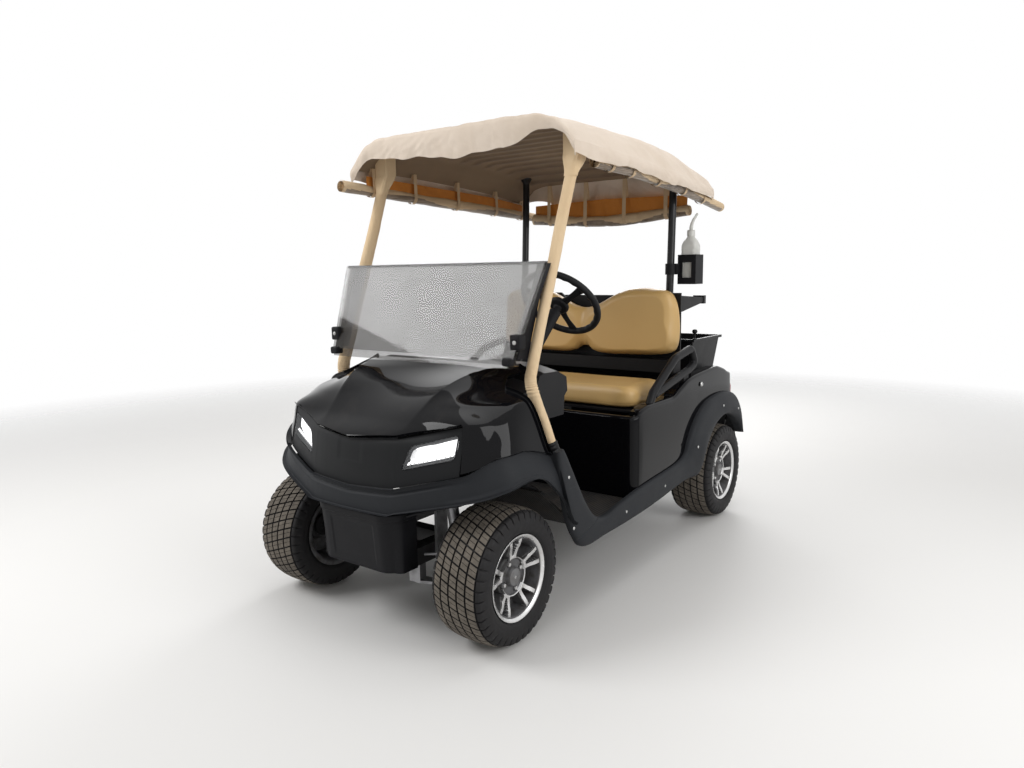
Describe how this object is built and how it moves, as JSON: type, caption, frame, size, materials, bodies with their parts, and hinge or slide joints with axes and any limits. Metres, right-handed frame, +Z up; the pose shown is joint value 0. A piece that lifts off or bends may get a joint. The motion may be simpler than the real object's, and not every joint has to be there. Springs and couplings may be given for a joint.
{
  "type": "golf cart",
  "caption": "Two-seat electric golf cart with a covered canopy on bent struts, folded windshield, lifting bench seat, rear basket and bag well, and steered front wheels.",
  "frame": {"origin": "on the ground, under the middle of the cart's length and width", "axes": "+Z up, -Y the way the cart faces, +X the driver's side"},
  "size_m": [1.2, 2.3128, 1.765],
  "materials": {
    "gloss_black": "high gloss moulded body panel",
    "satin_black": "satin black moulding",
    "charcoal": "textured charcoal moulding",
    "lamp_lens": "clear lens, lit white",
    "red_lens": "red lens",
    "smoked_pane": "smoked clear sheet",
    "black_tube": "black powder coat",
    "cream_cloth": "cream woven cover",
    "curtain": "rolled clear and beige curtain",
    "roof_liner": "brown grey ribbed underside",
    "tan_vinyl": "tan vinyl",
    "frame_metal": "dull grey metal",
    "floor_mat": "ribbed black mat",
    "pedal_rubber": "black pedal pads",
    "grip": "soft black grip",
    "motor_case": "dark painted case",
    "battery_case": "dark battery case",
    "clear_bottle": "translucent bottle",
    "tyre": "block tread tyre",
    "alloy": "machined silver and grey"
  },
  "bodies": {
    "chassis": {"front_cowl": "gloss_black", "rear_body": "gloss_black", "front_fascia": "satin_black", "dashboard": "satin_black", "bumper_box": "satin_black", "fender_liner_left": "satin_black", "fender_liner_right": "satin_black", "firewall": "satin_black", "seat_back_panel": "satin_black", "bag_well": "satin_black", "sweater_basket": "satin_black", "bag_rack": "satin_black", "windshield_clips": "satin_black", "windshield_mounts": "satin_black", "bottle_holder": "satin_black", "steering_column": "satin_black", "front_bumper": "charcoal", "sill_left": "charcoal", "sill_right": "charcoal", "rear_bumper": "charcoal", "headlamp_left": "lamp_lens", "headlamp_right": "lamp_lens", "tail_lamps": "red_lens", "windshield_upper": "smoked_pane", "windshield_lower": "smoked_pane", "front_struts": "black_tube", "rear_struts": "black_tube", "hip_restraints": "black_tube", "seat_hinge_bar": "black_tube", "rear_springs": "black_tube", "steering_gear": "black_tube", "strut_sleeves": "cream_cloth", "canopy_cover": "cream_cloth", "curtain_rolls": "curtain", "canopy_shell": "roof_liner", "seat_back_cushion": "tan_vinyl", "frame_rails": "frame_metal", "front_suspension": "frame_metal", "rear_axle": "frame_metal", "floor_pan": "floor_mat", "pedals": "pedal_rubber", "drive_motor": "motor_case", "battery_pack": "battery_case", "seed_bottle": "clear_bottle"},
    "steering": {"steering_wheel": "grip"},
    "knuckle_l": {"knuckle_left": "frame_metal"},
    "knuckle_r": {"knuckle_right": "frame_metal"},
    "rack": {"tie_rods": "black_tube"},
    "wheel_fl": {"tyre_front_left": "tyre", "rim_front_left": "alloy"},
    "wheel_fr": {"tyre_front_right": "tyre", "rim_front_right": "alloy"},
    "wheel_rl": {"tyre_rear_left": "tyre", "rim_rear_left": "alloy"},
    "wheel_rr": {"tyre_rear_right": "tyre", "rim_rear_right": "alloy"},
    "seat_bottom": {"seat_pan": "satin_black", "seat_cushion": "tan_vinyl"}
  },
  "joints": [
    {"name": "steering_turn", "type": "hinge", "parent": "chassis", "child": "steering", "pos_m": [0.25, -0.215, 1.09], "axis": [0, 0.7431, 0.6691], "range_deg": [-360, 360]},
    {"name": "steer_left", "type": "hinge", "parent": "chassis", "child": "knuckle_l", "pos_m": [0.4, -0.907, 0.23], "axis": [0, 0, 1], "range_deg": [-28, 28]},
    {"name": "steer_right", "type": "hinge", "parent": "chassis", "child": "knuckle_r", "pos_m": [-0.4, -0.907, 0.23], "axis": [0, 0, 1], "range_deg": [-28, 28]},
    {"name": "rack_slide", "type": "slide", "parent": "chassis", "child": "rack", "axis": [1, 0, 0], "range_m": [-0.032, 0.032]},
    {"name": "spin_front_left", "type": "hinge", "parent": "knuckle_l", "child": "wheel_fl", "pos_m": [0.438, -0.907, 0.23], "axis": [1, 0, 0], "continuous": true},
    {"name": "spin_front_right", "type": "hinge", "parent": "knuckle_r", "child": "wheel_fr", "pos_m": [-0.438, -0.907, 0.23], "axis": [1, 0, 0], "continuous": true},
    {"name": "spin_rear_left", "type": "hinge", "parent": "chassis", "child": "wheel_rl", "pos_m": [0.489, 0.757, 0.23], "axis": [1, 0, 0], "continuous": true},
    {"name": "spin_rear_right", "type": "hinge", "parent": "chassis", "child": "wheel_rr", "pos_m": [-0.489, 0.757, 0.23], "axis": [1, 0, 0], "continuous": true},
    {"name": "seat_lift", "type": "hinge", "parent": "chassis", "child": "seat_bottom", "pos_m": [0, 0.249, 0.6], "axis": [-1, 0, 0], "range_deg": [0, 60]}
  ],
  "couplings": [
    {"joint": "steer_left", "follows": "steering_turn", "ratio": 0.0777},
    {"joint": "steer_right", "follows": "steering_turn", "ratio": 0.0777},
    {"joint": "rack_slide", "follows": "steering_turn", "m_per_rad": -0.005051}
  ]
}
